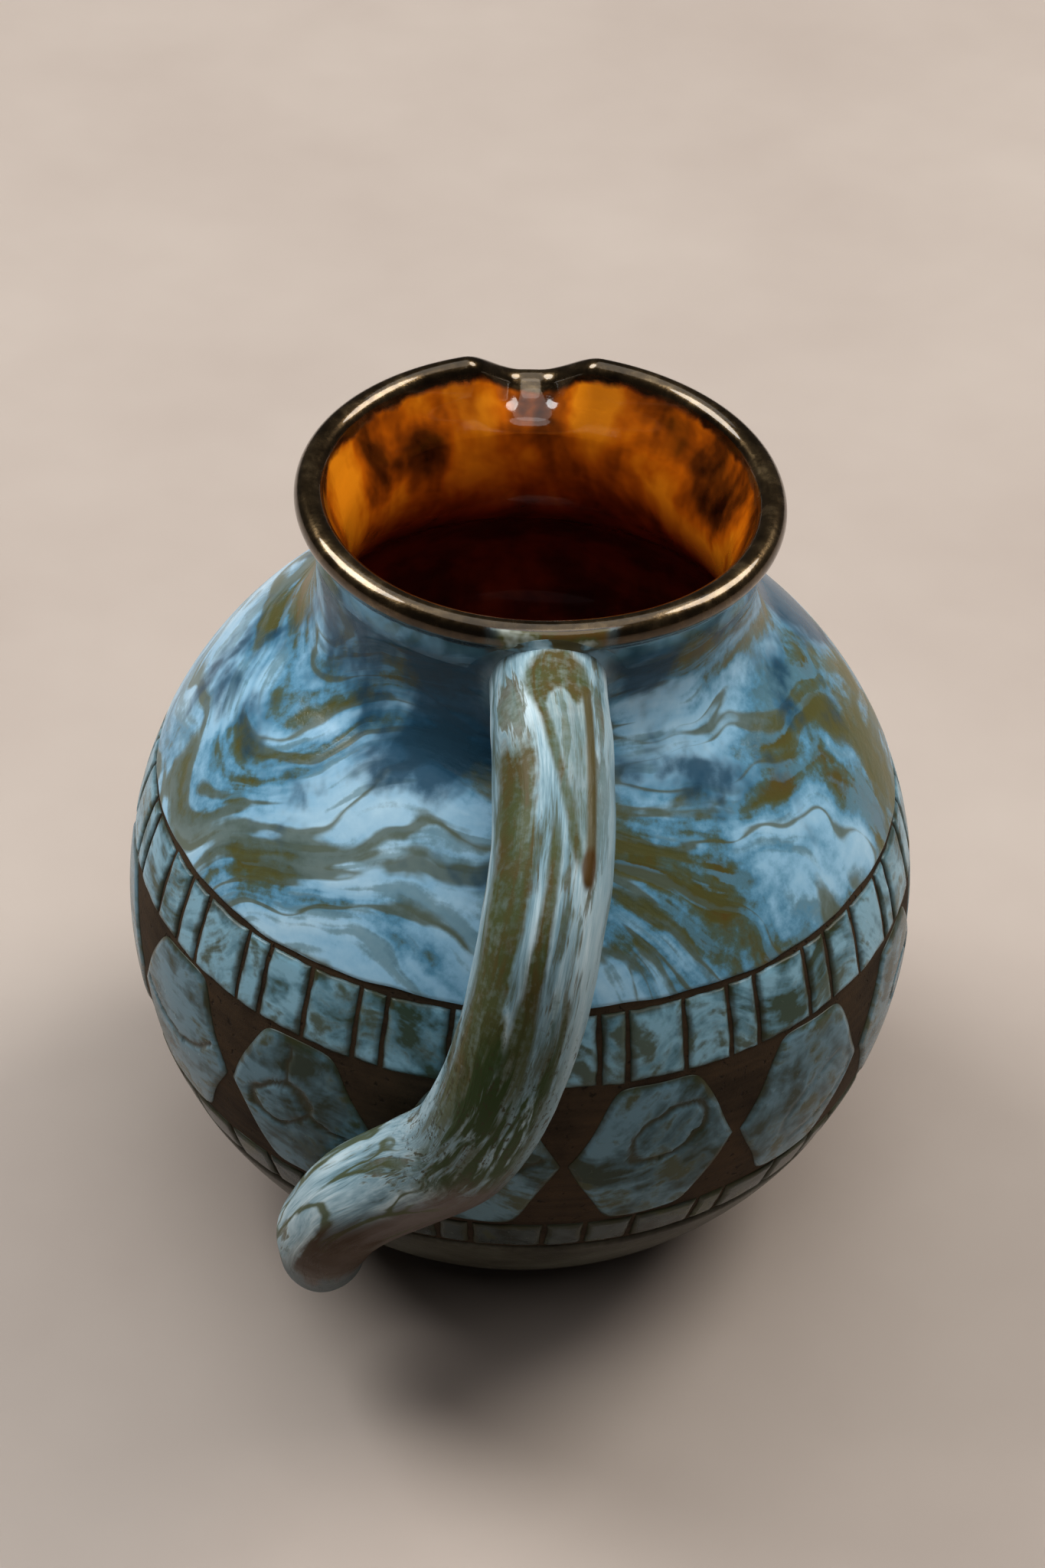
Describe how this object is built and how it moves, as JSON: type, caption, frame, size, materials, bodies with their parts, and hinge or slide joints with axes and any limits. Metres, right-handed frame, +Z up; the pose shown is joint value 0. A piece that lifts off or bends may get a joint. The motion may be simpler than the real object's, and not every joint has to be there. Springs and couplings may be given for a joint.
{
  "type": "pouring jug",
  "caption": "Round-bellied glazed ceramic pouring jug with a short collar, rolled rim, pinched lip and one thick swept handle.",
  "frame": {"origin": "middle of the flat resting face of the foot, on the axis of the jug", "axes": "+Z up along the axis of the jug, -Y towards the handle, +Y towards the pouring lip"},
  "size_m": [0.132, 0.1596, 0.1412],
  "materials": {
    "bare_clay": "matte",
    "blue_glaze": "gloss",
    "pale_glaze": "gloss",
    "grey_blue_glaze": "gloss",
    "olive_glaze": "satin",
    "amber_glaze": "gloss",
    "lustre_rim": "metallic lustre"
  },
  "bodies": {
    "root": {"foot": "bare_clay", "belly": "bare_clay", "collar": "blue_glaze", "rim": "lustre_rim", "handle": "pale_glaze", "root_fillet": "pale_glaze", "liner_glaze": "amber_glaze", "shoulder_glaze": "blue_glaze", "upper_border": "grey_blue_glaze", "panels": "grey_blue_glaze", "lower_border": "grey_blue_glaze", "foot_glaze": "olive_glaze"}
  },
  "joints": []
}
